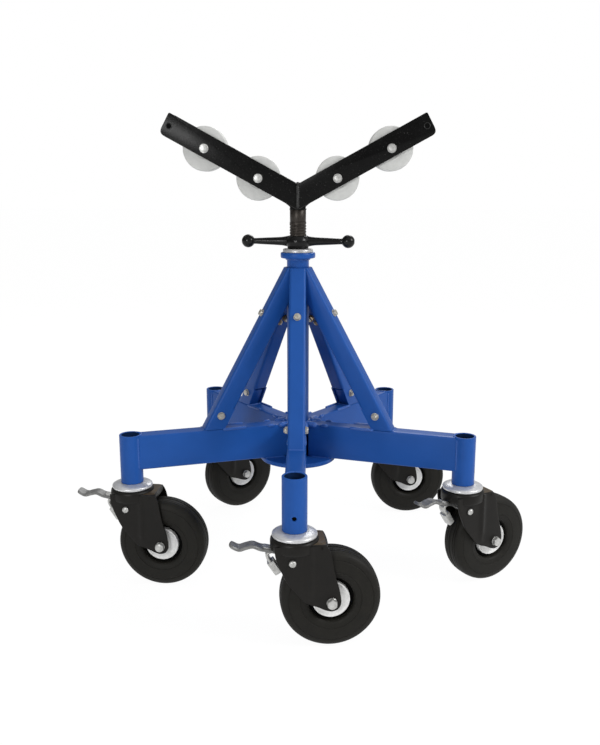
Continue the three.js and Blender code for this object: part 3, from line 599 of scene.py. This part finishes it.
def along_line(points, z):
    for (x0, z0), (x1, z1) in zip(points, points[1:]):
        if z0 <= z <= z1:
            return x0 + (x1 - x0) * (z - z0) / (z1 - z0)
    return points[-1][0]


def spline(points, steps):
    """Points of a smooth curve through the given vectors, without the last one."""
    out = []
    last = len(points) - 1
    for i in range(last):
        p = [points[max(0, min(last, i + k))] for k in (-1, 0, 1, 2)]
        for s in range(steps):
            t = s / steps
            out.append(0.5 * ((2 * p[1]) + (p[2] - p[0]) * t + (2 * p[0] - 5 * p[1] + 4 * p[2] - p[3]) * t * t
                              + (3 * p[1] - p[0] - 3 * p[2] + p[3]) * t ** 3))
    return out


def smooth_edge(points):
    return [*[tuple(q) for q in spline([Vector(p) for p in points], 6)], points[-1]]


def fork_side(bm, side):
    """One pressed plate: a grid between its two edges, creased down the middle, with rounded rims."""
    left, right = smooth_edge(FORK_LEFT), smooth_edge(FORK_RIGHT)
    heights = [82.75, 83.2, 84, 85.2, 87] + [88 + 134 * k / 44 for k in range(45)]
    outer, inner = [], []
    for z in heights:
        a, b = along_line(left, z), along_line(right, z)
        rim = min(1.0, (b - a) * 0.2)
        across = [a, a + 0.3 * rim, a + rim] + [a + rim + (b - a - 2 * rim) * k / 26 for k in range(1, 26)]
        across += [b - rim, b - 0.3 * rim, b]
        drop = [1.0, 0.3] + [0.0] * (len(across) - 4) + [0.3, 1.0]
        low = min(1.0, max(0.0, 1 - (z - 82.75) / 1.5))
        front = []
        for u, lower in zip(across, drop):
            ridge = 3.6 * math.exp(-((u - 29) / 5.6) ** 2) * min(1, max(0, (z - 104) / 24))
            front.append((u, side * (FORK_OUT - max(lower, low) + ridge), z))
        outer.append(add_loop(bm, front))
        inner.append(add_loop(bm, [(u, side * FORK_IN, z) for u in across]))
    skin(bm, outer, around=False)
    skin(bm, inner, around=False)
    for edge in (0, -1):
        skin(bm, [[row[edge] for row in outer], [row[edge] for row in inner]], around=False)
    for row in (0, -1):
        skin(bm, [outer[row], inner[row]], around=False)


def roof_mesh(bm):
    """Flat top of the fork behind the crown, turned down at its square rear end."""
    near, end = ROOF_FRONT, ROOF_END
    plan = fillet([(near, -FORK_OUT), (end, -FORK_OUT), (end, FORK_OUT), (near, FORK_OUT)], [0, 10, 10, 0], 6)
    loops = []
    for z, inset in ((210, 1.4), (214, 0), (220.6, 0), (222.8, 0.8), (224.1, 3.0)):
        loops.append([(x - inset * (x - near) / (end - near), y * (FORK_OUT - inset) / FORK_OUT, z) for x, y in plan])
    part = bmesh.new()
    rings = [add_loop(part, loop) for loop in loops]
    skin(part, rings)
    cap(part, list(reversed(rings[0])))
    # Top face in the brown material.
    cap(part, rings[-1], 1)
    blend_in(bm, part)


def fork_mesh():
    bm = bmesh.new()
    for side in (-1, 1):
        part = bmesh.new()
        fork_side(part, side)
        blend_in(bm, part)
    crown = [(12.4, CROWN_LOW), (42, CROWN_LOW - 1), (46.5, CROWN_LOW - 4), (47.5, CROWN_LOW - 4)]
    crown += [(48.6, CROWN_LOW - 2.5), (CROWN_R, CROWN_LOW + 2), (CROWN_R, CROWN_HIGH - 8)]
    crown += [(48.4, CROWN_HIGH - 5), (46.6, CROWN_HIGH - 2.2)]
    crown += [(43.5, CROWN_HIGH - 0.5), (40, CROWN_HIGH), (12.4, CROWN_HIGH)]
    lathe(bm, crown, 72, closed=True)
    roof_mesh(bm)
    for side in (-1, 1):
        rivet = move(PIVOT[0], side * (FORK_OUT + 0.3), PIVOT[1]) @ facing(side)
        dome(bm, 7.4, 4.2, rivet, 2)
        washer(bm, 7, 10.5, -0.2, 0.5, rivet, 0)
    pin = move(PIVOT[0], 0, PIVOT[1]) @ ACROSS
    lathe(bm, [(0, -FORK_OUT), (5, -FORK_OUT), (5, FORK_OUT), (0, FORK_OUT)], 20, pin, False, 2)
    return finish_mesh("fork_shape", bm, [FORK, TAB, BRIGHT], 38)


def axle_mesh():
    bm = bmesh.new()
    for side in (-1, 1):
        face = move(0, side * (FORK_OUT + 0.35), 0) @ facing(side)
        washer(bm, 6, 10.6, 0, 1.4, face, 0)
        hexagon(bm, 19, 1.4, 10, face, 0, 1.6)
    lathe(bm, [(0, -FORK_OUT - 3), (6, -FORK_OUT - 3), (6, FORK_OUT + 3), (0, FORK_OUT + 3)], 28, ACROSS, False, 0)
    return finish_mesh("axle_shape", bm, [BRIGHT], 30)


def mirrored(half):
    return [*half, *[(r, -y) for r, y in reversed(half)]]


def tyre_mesh():
    half = [(46.2, 10), (46.2, 20), (46.9, 23), (48.4, 25.6), (51.4, 27.6), (56, 29), (59.6, 29.7), (60.2, 29.2),
            (61.4, 29.2), (62.0, 29.9), (70, 30), (78, 29.7), (84.0, 29.0), (84.6, 28.2), (85.8, 28.0), (86.4, 28.5),
            (91, 27.4), (95.4, 25.2), (98.2, 22.6), (99.8, 19.6), (100.6, 16.6), (99.6, 16.2), (99.6, 15),
            (100.9, 14.6), (101.3, 10.6), (100.2, 10.2), (100.2, 9), (101.45, 8.6), (WHEEL_R, 3.2), (100.4, 2.8),
            (100.4, 1.0)]
    bm = bmesh.new()
    lathe(bm, mirrored(half), 112, ACROSS, True)
    return finish_mesh("tyre_shape", bm, [RUBBER], 28)


def rim_mesh():
    # The recessed ring round the rim face takes material 1: painted shade, and the black of the tyre bead.
    dark = [(46.4, 10), (46.4, 14), (38.0, 14)]
    face = [(38.0, 14), (38.0, 23.4), (37.4, 24.6), (36.2, 24.9), (34.8, 24.4), (33.0, 23.4), (30.0, 22.8), (24, 22.4),
            (19, 22.6), (16.8, 23.4), (15.5, 25.4), (15, 33.2), (14.2, 34), (6.4, 34)]
    bm = bmesh.new()
    for side in (-1, 1):
        lathe(bm, face, 72, facing(side), False, 0)
        lathe(bm, dark, 72, facing(side), False, 1)
    lathe(bm, [(6.4, -34), (6.4, 34)], 72, ACROSS, False, 0)
    lathe(bm, [(46.4, -10), (46.4, 10)], 72, ACROSS, False, 1)
    bmesh.ops.remove_doubles(bm, verts=bm.verts, dist=0.01)
    return finish_mesh("rim_shape", bm, [RIM, PAINTED_SHADE_BLACK], 35)


def curve_line(points):
    corners = [Vector((x, 0, z)) for x, z in points]
    return [*spline(corners, 8), corners[-1]]


def strap(bm, points, width, thick, index=0, round_end=8.0):
    """Pressed strip along a curve in the caster's plane, with rounded edges and a rounded free end."""
    line = curve_line(points)
    reach = [0.0]
    for a, b in zip(line, line[1:]):
        reach.append(reach[-1] + (b - a).length)

    def section(i):
        left = reach[-1] - reach[i]
        half = width / 2
        if left < round_end:
            half -= round_end - math.sqrt(max(0, round_end ** 2 - (round_end - left) ** 2))
        t = thick / 2
        e = min(1.6, 0.4 * thick)
        return [(half, -t + e), (half, t - e), (half - e, t), (-half + e, t), (-half, t - e), (-half, -t + e),
                (-half + e, -t), (half - e, -t)]

    sweep(bm, line, section, index)


def pedal_mesh():
    """Brake lever from its rivet: waved pedal, stem and foot of the release tab, and a stiffening strip."""
    pedal = [(0, 0), (-24, 11), (-42, 16.5), (-61, 20.5), (-76, 26.5), (-90, 24), (-104, 21), (-121, 30)]
    tab_stem = [(-38, 14), (-46, 11), (-48, 4), (-40, -12), (-28, -31.5)]
    tab_foot = [(-41.5, -8), (-34, -20), (-25, -33.5)]
    strip = [(-20, 12.6), (-42, 20.2), (-56, 23.4)]
    bm = bmesh.new()
    strap(bm, pedal, 28, 6.4, 0)
    strap(bm, tab_stem, 20, 6, 1, 3)
    strap(bm, tab_foot, 22, 15, 1, 2)
    strap(bm, strip, 21, 2.4, 1, 4)
    lathe(bm, [(5.3, -14), (7.4, -14), (8, -13.4), (8, 13.4), (7.4, 14), (5.3, 14)], 32, ACROSS, True, 0)
    return finish_mesh("pedal_shape", bm, [DULL_ZINC, BRIGHT], 35)


shapes = {"stem": stem_mesh(), "fork": fork_mesh(), "axle": axle_mesh(), "tyre": tyre_mesh(), "rim": rim_mesh(),
          "pedal": pedal_mesh()}
for i, n in enumerate(LEGS):
    at = LEG_TURN[n] @ Vector((POST_CIRCLE, 0, 0))
    home = Matrix.Translation(at) @ turn_z(HEADING[i])
    hub = home @ move(TRAIL, 0, WHEEL_R)
    put(f"caster_race_{n}", shapes["stem"], "frame", [f"caster_stem_{n}"], home)
    put(f"caster_plates_{n}", shapes["fork"], f"caster_{n}", [f"caster_fork_{n}"], home)
    put(f"caster_bolt_{n}", shapes["axle"], f"caster_{n}", [f"caster_axle_{n}"], hub)
    put(f"wheel_tyre_{n}", shapes["tyre"], f"wheel_{n}", [f"tyre_{n}"], hub)
    put(f"wheel_rim_{n}", shapes["rim"], f"wheel_{n}", [f"rim_{n}"], hub)
    put(f"brake_lever_{n}", shapes["pedal"], f"brake_{n}", [f"brake_pedal_{n}"],
        home @ move(PIVOT[0], 0, PIVOT[1]))


# Screw jack
def washer_mesh():
    bm = bmesh.new()
    z0, z1 = 754.8, 762.5
    ring = [(20.1, z0), (33.8, z0), (34.5, z0 + 0.8), (34.5, z1 - 2), (33.6, z1 - 0.6), (32, z1), (20.1, z1)]
    lathe(bm, ring, 64, closed=True)
    return finish_mesh("washer_shape", bm, [WASHER], 40)


def nut_mesh():
    bm = bmesh.new()
    barrel = [(19.4, 0), (22.4, 0), (23.6, 1), (24.4, 4), (26.6, 7.5), (27.6, 11), (27.8, 16), (27.2, 21), (25, 25)]
    barrel += [(23.8, 27.4), (22.6, 28.8), (21, 29), (19.4, 29)]
    lathe(bm, barrel, 64, closed=True)
    handle = [(12.6, 20.5), (12.2, 23), (11.4, 27), (10.4, 32), (9.6, 38), (8.9, 50), (7.8, 75), (6.7, 96), (6.5, 99.5)]
    handle += [(7.2, 101.6)]
    ball = [(15 * math.sin(t), 115 - 15 * math.cos(t)) for t in [0.5 + 0.13 * k for k in range(18)]]
    tip = [(5.4, 129.0), (4.6, 129.4), (0, 129.4)]
    for s in (0, 180):
        place = move(0, 0, HANDLE_UP) @ turn_z(s) @ OUTWARD
        lathe(bm, [(0, 20.5), *handle, *[b for b in ball if b[1] < 128.6], *tip], 40, place)
    return finish_mesh("nut_shape", bm, [CAST], 45)


def screw_mesh():
    """Right-hand screw thread under a plain neck."""
    bm = bmesh.new()
    low, lead, depth, sides = SCREW_LOW, LEAD, THREAD_DEEP, 48
    teeth = [(0.0, 1.0), (0.18, 1.0), (0.42, 0.0), (0.58, 0.0), (0.82, 1.0)]
    turns = int((SCREW_TOP - 2 - low) / lead)
    rows = []
    for k in range(turns):
        for share, tall in teeth:
            rows.append((low + lead * (k + share), SCREW_R - depth * (1 - tall)))
    loops = []
    for z, r in rows:
        ring = []
        for s in range(sides):
            t = 2 * math.pi * s / sides
            ring.append((r * math.cos(t), r * math.sin(t), z + lead * s / sides))
        loops.append(add_loop(bm, ring))
    for a, b in zip(loops, loops[1:]):
        for s in range(sides - 1):
            bm.faces.new([a[s], a[s + 1], b[s + 1], b[s]])
    step = len(teeth)
    for k in range(len(loops) - step - 1):
        bm.faces.new([loops[k][sides - 1], loops[k + step][0], loops[k + step + 1][0], loops[k + 1][sides - 1]])
    core = SCREW_R - depth - 0.4
    lathe(bm, [(0, low + 2), (core, low + 2), (core, SCREW_TOP), (0, SCREW_TOP)], sides)
    neck = [(0, SCREW_TOP - 5), (SCREW_R - 0.6, SCREW_TOP - 5), (SCREW_R, SCREW_TOP - 4.4), (SCREW_R, SCREW_TOP - 0.8)]
    neck += [(SCREW_R - 0.9, SCREW_TOP), (18.0, SCREW_TOP + 0.5), (18.3, SCREW_TOP + 1.4), (18.4, NECK_TOP - 1)]
    neck += [(17.6, NECK_TOP), (0, NECK_TOP)]
    lathe(bm, neck, 56)
    return finish_mesh("screw_shape", bm, [SCREW], 40)


put("jack_washer", washer_mesh(), "thrust_washer", ["thrust_washer"])
put("jack_handle_nut", nut_mesh(), "jack_nut", ["jack_nut"], move(0, 0, NUT_LOW) @ turn_z(HANDLE_TURN))
put("jack_screw_thread", screw_mesh(), "head", ["jack_screw"])


# V head, measured from the notch
def arm_point(along, down):
    """The (x, z) point at a length along the right arm and a depth under its upper edge."""
    return (along * math.cos(SLOPE) + down * math.sin(SLOPE), along * math.sin(SLOPE) - down * math.cos(SLOPE))


FOOT = 1.5 - ARM_WIDE / math.cos(SLOPE)


def arm_mesh(bm, place):
    rise = math.tan(SLOPE)
    outline = [(0.15, FOOT), (1.5 / rise, FOOT), arm_point(ARM_LONG, ARM_WIDE), arm_point(ARM_LONG, 0)]
    outline += [(0.15, 0.15 * rise)]
    rounded = fillet(outline, [0, 0, 13, 3.5, 0], 6)
    half = (ARM_OUT - ARM_IN) / 2
    plate(bm, rounded, -half, half, 0.9, place, edge_index=1)


def plug_mark(bm, x, z, side):
    out = move(x, side * ARM_OUT, z) @ facing(side)
    # Near-black dome: painted shade of the plug mark's hollow. The ring weld round it takes the black lightened as
    # painted highlight.
    dome(bm, 6, 0.5, out, index=3)
    weld(bm, circle(6.4, 0.3, 24, out), 1.1, 3.0, 2, close=True)


def arms_mesh(side, front):
    bm = bmesh.new()
    y = front * (ARM_IN + ARM_OUT) / 2
    arm_mesh(bm, move(0, y, 0) @ (Matrix() if side > 0 else turn_z(180)))
    x, z = arm_point(SPACER_ALONG, SPACER_DOWN)
    plug_mark(bm, side * x, z, front)
    return finish_mesh("arm_shape", bm, [BLACK, WORN, SEAM_HIGHLIT, PAINTED_SHADE_BLACK], 30)


def seam_mesh():
    bm = bmesh.new()
    # Vertical seams take material 2, black lightened as painted highlight.
    for y in (-ARM_OUT, ARM_OUT):
        weld(bm, [(0, y, FOOT + 2), (0, y, -1)], 4.6, 4.2, 2)
    for y in (-1, 1):
        weld(bm, [(0, y * ARM_OUT, 0.5), (0, y * ARM_IN, 0.5)], 4.4, 4.0, 1)
    weld(bm, circle(18.3, FOOT - 0.6, 64), 1.5, 3.4, close=True)
    return finish_mesh("seam_shape", bm, [BLACK, WORN, SEAM_HIGHLIT], 60)


def block_mesh():
    rise = math.tan(SLOPE)
    half = arm_point(ROLLERS["inner"], ROLLER_DOWN)[0] - ROLLER_R - 3
    base = FOOT + 0.3
    outline = [(-17.5, base + 6), (-17.5, base), (17.5, base), (17.5, base + 6), (half, base + half * rise),
               (half, half * rise - 4), (0, -4), (-half, half * rise - 4), (-half, base + half * rise)]
    bm = bmesh.new()
    plate(bm, outline, -INSIDE, INSIDE, 0.8)
    return finish_mesh("block_shape", bm, [BLACK], 30)


def roller_mesh():
    face = ROLLER_HALF
    half = [(7.2, face), (9, face), (10, 25.2), (21, 25.2), (22.2, face), (ROLLER_R - 3.4, face)]
    half += [(ROLLER_R - 1.4, 25.3), (ROLLER_R - 0.4, 24), (ROLLER_R, 22), (ROLLER_R, 8)]
    bm = bmesh.new()
    lathe(bm, mirrored(half), 88, ACROSS, True)
    return finish_mesh("roller_shape", bm, [NYLON], 30)


def roller_bolt_mesh():
    bm = bmesh.new()
    for side in (-1, 1):
        face = move(0, side * (ARM_OUT + 0.3), 0) @ facing(side)
        washer(bm, 6, 10, 0, 1.4, face, 0)
        hexagon(bm, 15, 1.4, 7.6 if side < 0 else 8.2, face, 0, 0.6 if side < 0 else 0)
    low, high = -ARM_OUT - 3, ARM_OUT + 11
    lathe(bm, [(0, low), (6, low), (6, high - 1), (5.2, high), (0, high)], 28, ACROSS)
    for y in (-28, 28):
        washer(bm, 6.1, 13, -1.7, 1.7, move(0, y, 0) @ ACROSS, 0)
    return finish_mesh("roller_bolt_shape", bm, [BRIGHT], 30)


def spacer_mesh():
    bm = bmesh.new()
    r, end = SPACER_R, INSIDE
    lathe(bm, [(0, -end), (r - 0.4, -end), (r, 0.5 - end), (r, end - 0.5), (r - 0.4, end), (0, end)], 36, ACROSS)
    return finish_mesh("spacer_shape", bm, [BLACK], 40)


top = move(0, 0, NOTCH)
put("head_weld_seams", seam_mesh(), "head", (), top)
put("head_core", block_mesh(), "head", ["head_block"], top)
roller_shape, pin_shape, spacer_shape = roller_mesh(), roller_bolt_mesh(), spacer_mesh()
for name, side in (("right", 1), ("left", -1)):
    for place, front in (("front", -1), ("back", 1)):
        put(f"head_bar_{place}_{name}", arms_mesh(side, front), "head", [f"arm_{place}_{name}"], top)
    x, z = arm_point(SPACER_ALONG, SPACER_DOWN)
    at = move(side * x, 0, NOTCH + z)
    put(f"head_spacer_{name}", spacer_shape, "head", [f"arm_spacer_{name}"], at)
    for place, along in ROLLERS.items():
        x, z = arm_point(along, ROLLER_DOWN)
        at = move(side * x, 0, NOTCH + z)
        roller = f"roller_{place}_{name}"
        put(f"head_{roller}", roller_shape, roller, [roller], at)
        put(f"head_pin_{place}_{name}", pin_shape, "head", [f"roller_bolt_{place}_{name}"], at)


# Floor, light and camera
def floor_material():
    """Pale floor that glows white to the camera and still takes the object's shadow."""
    m = bpy.data.materials.new("studio_floor")
    m.use_nodes = True
    nodes, links = m.node_tree.nodes, m.node_tree.links
    shader = nodes["Principled BSDF"]
    shader.inputs["Base Color"].default_value = (0.86, 0.86, 0.86, 1)
    shader.inputs["Roughness"].default_value = 0.9
    shader.inputs["Specular IOR Level"].default_value = 0.0
    glow = nodes.new("ShaderNodeEmission")
    glow.inputs["Strength"].default_value = 1.03
    path = nodes.new("ShaderNodeLightPath")
    seen = nodes.new("ShaderNodeMath")
    seen.operation = "MAXIMUM"
    links.new(path.outputs["Is Camera Ray"], seen.inputs[0])
    links.new(path.outputs["Is Glossy Ray"], seen.inputs[1])
    share = nodes.new("ShaderNodeMath")
    share.operation = "MULTIPLY"
    share.inputs[1].default_value = 0.93
    links.new(seen.outputs["Value"], share.inputs[0])
    mix = nodes.new("ShaderNodeMixShader")
    links.new(share.outputs["Value"], mix.inputs["Fac"])
    links.new(shader.outputs["BSDF"], mix.inputs[1])
    links.new(glow.outputs["Emission"], mix.inputs[2])
    links.new(mix.outputs["Shader"], nodes["Material Output"].inputs["Surface"])
    return m


def studio():
    bm = bmesh.new()
    reach = 30
    for x, y in ((-reach, -reach), (reach, -reach), (reach, reach), (-reach, reach)):
        bm.verts.new((x, y, 0))
    bm.faces.new(bm.verts)
    mesh = bpy.data.meshes.new("floor")
    bm.to_mesh(mesh)
    bm.free()
    mesh.materials.append(floor_material())
    floor = bpy.data.objects.new("floor", mesh)
    scene.collection.objects.link(floor)
    world = bpy.data.worlds.new("studio")
    scene.world = world
    world.use_nodes = True
    nodes, links = world.node_tree.nodes, world.node_tree.links
    path = nodes.new("ShaderNodeLightPath")
    spread = nodes.new("ShaderNodeTexCoord")
    height = nodes.new("ShaderNodeSeparateXYZ")
    links.new(spread.outputs["Generated"], height.inputs["Vector"])
    sky = nodes.new("ShaderNodeMapRange")
    sky.inputs["From Min"].default_value = 0.15
    sky.inputs["To Min"].default_value = 0.30
    sky.inputs["To Max"].default_value = 0.85
    links.new(height.outputs["Z"], sky.inputs["Value"])
    side = nodes.new("ShaderNodeMapRange")
    side.inputs["From Min"].default_value = -1.0
    side.inputs["To Min"].default_value = 0.5
    side.inputs["To Max"].default_value = 1.5
    links.new(height.outputs["X"], side.inputs["Value"])
    around = nodes.new("ShaderNodeMath")
    around.operation = "MULTIPLY"
    links.new(sky.outputs["Result"], around.inputs[0])
    links.new(side.outputs["Result"], around.inputs[1])
    level = nodes.new("ShaderNodeMix")
    links.new(path.outputs["Is Camera Ray"], level.inputs["Factor"])
    links.new(around.outputs["Value"], level.inputs["A"])
    level.inputs["B"].default_value = 1.0
    links.new(level.outputs["Result"], nodes["Background"].inputs["Strength"])
    nodes["Background"].inputs["Color"].default_value = (1, 1, 1, 1)


def lamp(name, at, target, size, power):
    data = bpy.data.lights.new(name, "AREA")
    data.shape = "DISK"
    data.size = size
    data.energy = power
    light = bpy.data.objects.new(name, data)
    light.location = at
    light.rotation_euler = (Vector(target) - Vector(at)).to_track_quat("-Z", "Y").to_euler()
    scene.collection.objects.link(light)


def camera():
    """Camera solved from points of the photo."""
    data = bpy.data.cameras.new("camera")
    data.sensor_fit = "HORIZONTAL"
    data.sensor_width = SENSOR
    data.lens = FOCAL_PIXELS / IMAGE_WIDE * SENSOR
    data.shift_x = (IMAGE_WIDE / 2 - CENTRE_PIXEL) / IMAGE_WIDE
    data.dof.use_dof = False
    view = bpy.data.objects.new("camera", data)
    view.location = (0.03304, -1.96977, 0.90875)
    view.rotation_euler = (math.radians(90 - 12.52), 0, math.radians(0.96))
    scene.collection.objects.link(view)
    scene.camera = view


studio()
lamp("key", (3.3, -1.3, 2.5), (0, 0, 0.4), 1.3, 78)
lamp("fill", (-1.2, -2.9, 1.28), (0, 0, 0.5), 0.8, 30)
lamp("rim", (0.6, 2.8, 2.6), (0, 0, 0.6), 1.4, 28)
camera()
scene.view_settings.view_transform = "Standard"
